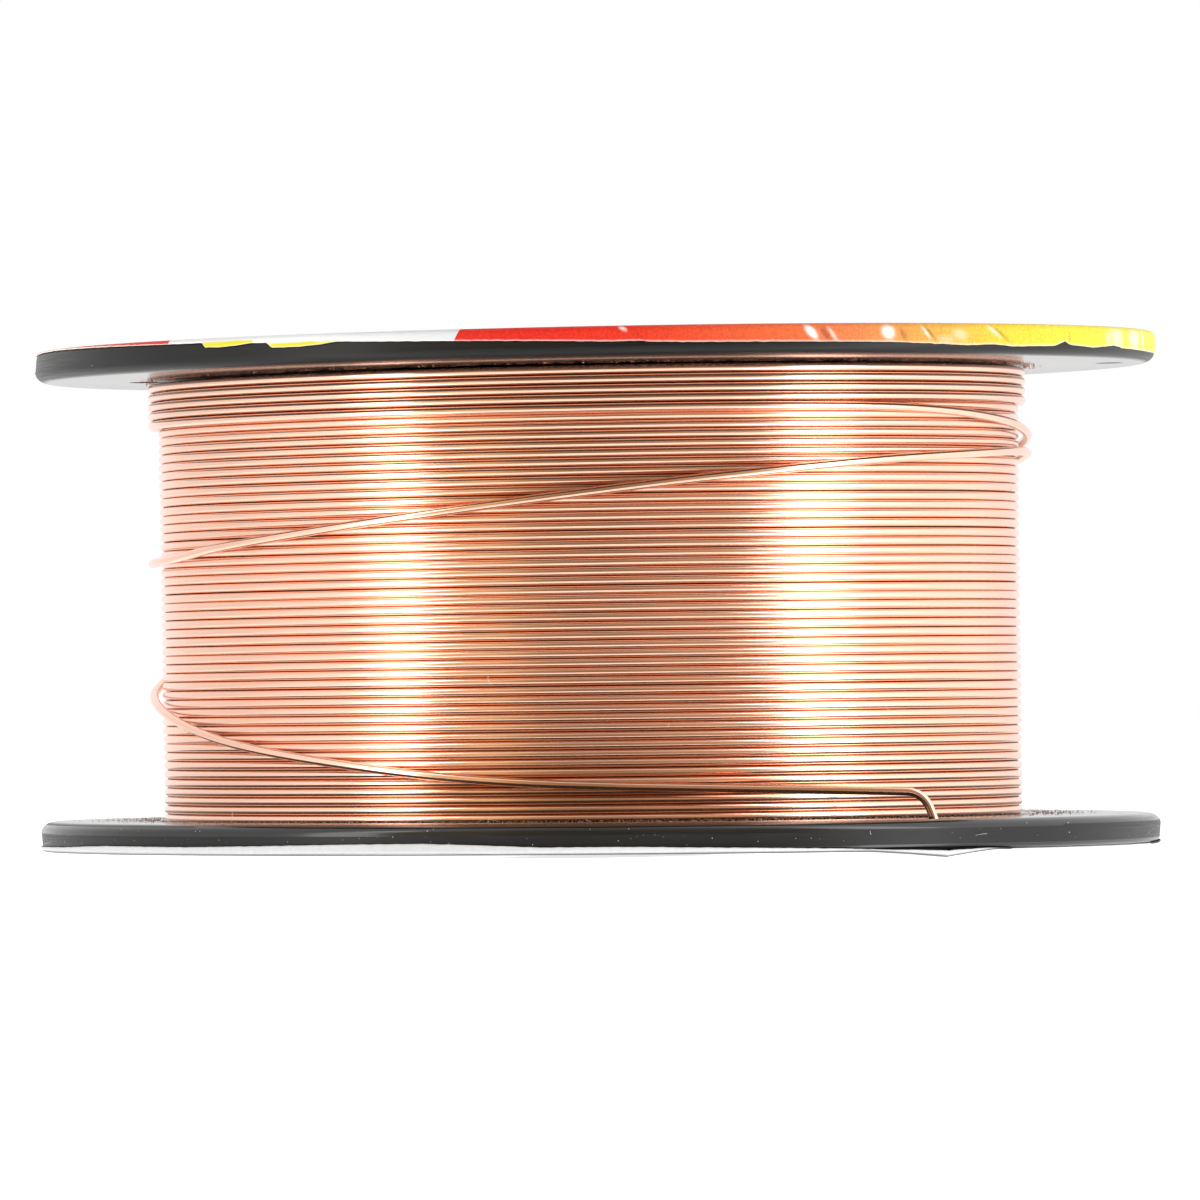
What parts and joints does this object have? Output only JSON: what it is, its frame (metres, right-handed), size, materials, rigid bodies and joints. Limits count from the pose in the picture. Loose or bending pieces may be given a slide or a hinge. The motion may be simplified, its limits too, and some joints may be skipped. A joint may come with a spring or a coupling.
{
  "type": "welding wire spool",
  "caption": "Small two-flanged plastic spool wound with copper-coated steel welding wire, with labels on both flanges and the loose end hooked into a flange.",
  "frame": {"origin": "middle of the lower hub end, at the bottom of the spool's box", "axes": "+Z along the spool's axis towards the printed label, -Y the front where the loose end is hooked in to the right"},
  "size_m": [0.1, 0.1, 0.045],
  "materials": {
    "spool_plastic": "black injection-moulded styrene plastic, satin, with fine scuffs",
    "copper_coated_wire": "drawn mild steel wire with a thin bright copper coating",
    "printed_label": "coated paper sticker printed red to yellow, satin",
    "plain_label": "white paper sticker, matt"
  },
  "bodies": {
    "root": {"lower_spool_half": "spool_plastic", "upper_spool_half": "spool_plastic", "wire_windings": "copper_coated_wire", "wire_tail": "copper_coated_wire", "wire_start": "copper_coated_wire", "upper_label": "printed_label", "lower_label": "plain_label"}
  },
  "joints": []
}
